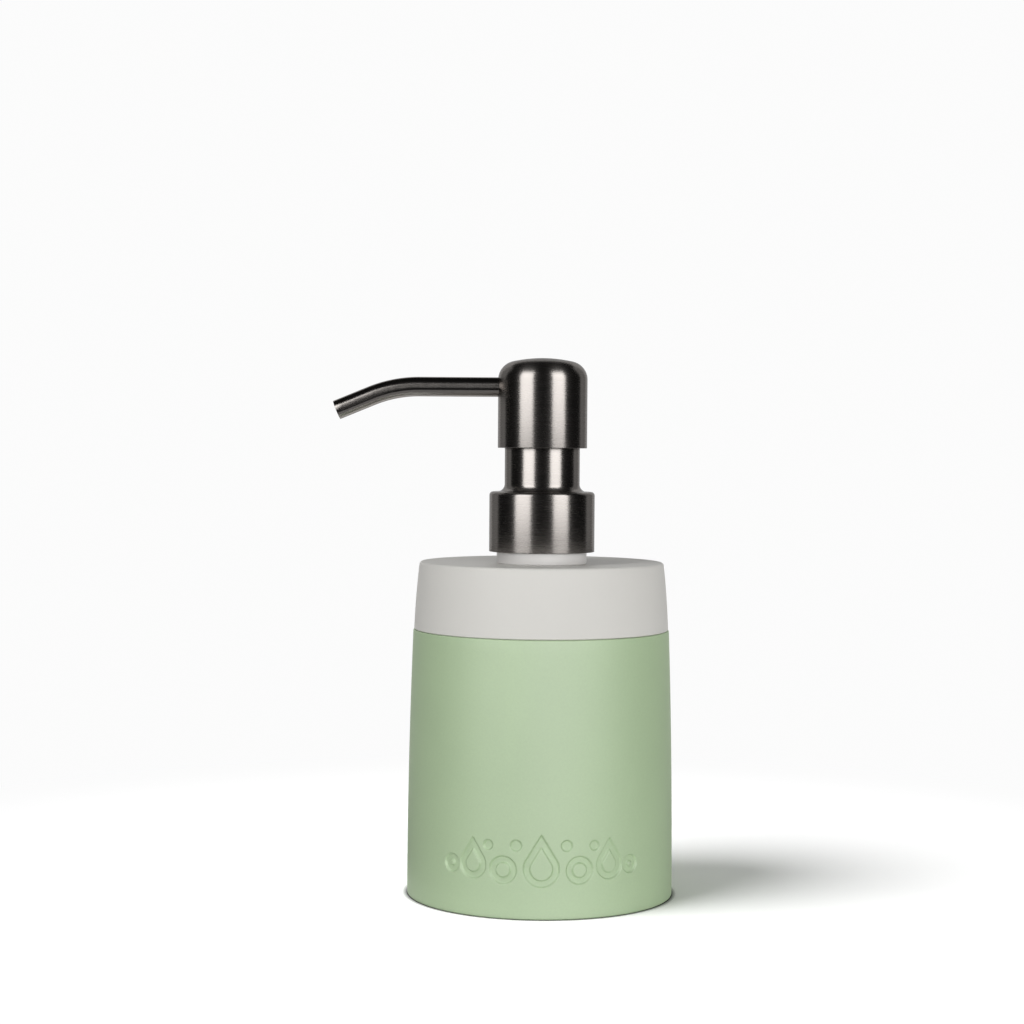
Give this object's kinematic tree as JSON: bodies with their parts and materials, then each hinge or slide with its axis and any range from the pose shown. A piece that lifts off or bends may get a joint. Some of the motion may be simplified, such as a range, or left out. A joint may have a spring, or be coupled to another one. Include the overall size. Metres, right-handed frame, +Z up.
{
  "type": "soap dispenser",
  "caption": "Free-standing liquid soap dispenser: stoneware bottle in a silicone sleeve with a brushed steel screw-on push pump and a bent spout.",
  "frame": {"origin": "centre of the sleeve's flat underside, on the bottle's axis, at the level of the table", "axes": "+Z up along the bottle's axis, -X along the spout, -Y towards the front with the sunk pattern"},
  "size_m": [0.1104, 0.0856, 0.1725],
  "materials": {
    "stoneware": "matte glaze",
    "silicone": "matte, faint grain",
    "neck_plastic": "satin",
    "shell_steel": "brushed round the axis",
    "core_plastic": "satin",
    "seal_foam": "matte",
    "pump_plastic": "satin",
    "pump_plastic_grey": "satin",
    "piston_plastic": "satin",
    "tube_plastic": "translucent",
    "ball_steel": "polished",
    "spring_steel": "drawn"
  },
  "bodies": {
    "bottle": {"bottle": "stoneware", "sleeve": "silicone", "neck_ring": "neck_plastic"},
    "pump_body": {"pump_housing": "pump_plastic", "stem_guide": "pump_plastic_grey", "gasket": "seal_foam", "ball_cage": "pump_plastic_grey", "dip_tube": "tube_plastic"},
    "closure": {"collar_shell": "shell_steel", "closure_nut": "core_plastic"},
    "spring": {"return_spring": "spring_steel"},
    "plunger": {"stem": "pump_plastic", "piston": "piston_plastic", "piston_seat": "pump_plastic_grey", "head_core": "core_plastic", "head_shell": "shell_steel", "spout": "shell_steel", "spout_liner": "tube_plastic"},
    "inlet_valve": {"inlet_ball": "ball_steel"},
    "outlet_valve": {"outlet_ball": "ball_steel"}
  },
  "joints": [
    {"name": "pump_rise", "type": "slide", "parent": "bottle", "child": "pump_body", "axis": [0, 0, 1], "range_m": [0, 0.0053]},
    {"name": "closure_turn", "type": "hinge", "parent": "pump_body", "child": "closure", "pos_m": [0, 0, 0.1175], "axis": [0, 0, 1], "range_deg": [0, 450]},
    {"name": "head_swivel", "type": "hinge", "parent": "pump_body", "child": "spring", "pos_m": [0, 0, 0.08468], "axis": [0, 0, 1], "continuous": true},
    {"name": "head_press", "type": "slide", "parent": "spring", "child": "plunger", "axis": [0, 0, -1], "range_m": [0, 0.012], "stiffness_N_per_m": 500, "springref_m": -0.015, "deforming": ["return_spring"]},
    {"name": "inlet_ball_lift", "type": "slide", "parent": "pump_body", "child": "inlet_valve", "axis": [0, 0, 1], "range_m": [0, 0.0015]},
    {"name": "outlet_ball_lift", "type": "slide", "parent": "plunger", "child": "outlet_valve", "axis": [0, 0, 1], "range_m": [0, 0.0012]}
  ],
  "couplings": [
    {"joint": "pump_rise", "follows": "closure_turn", "m_per_rad": 0.00066845}
  ]
}
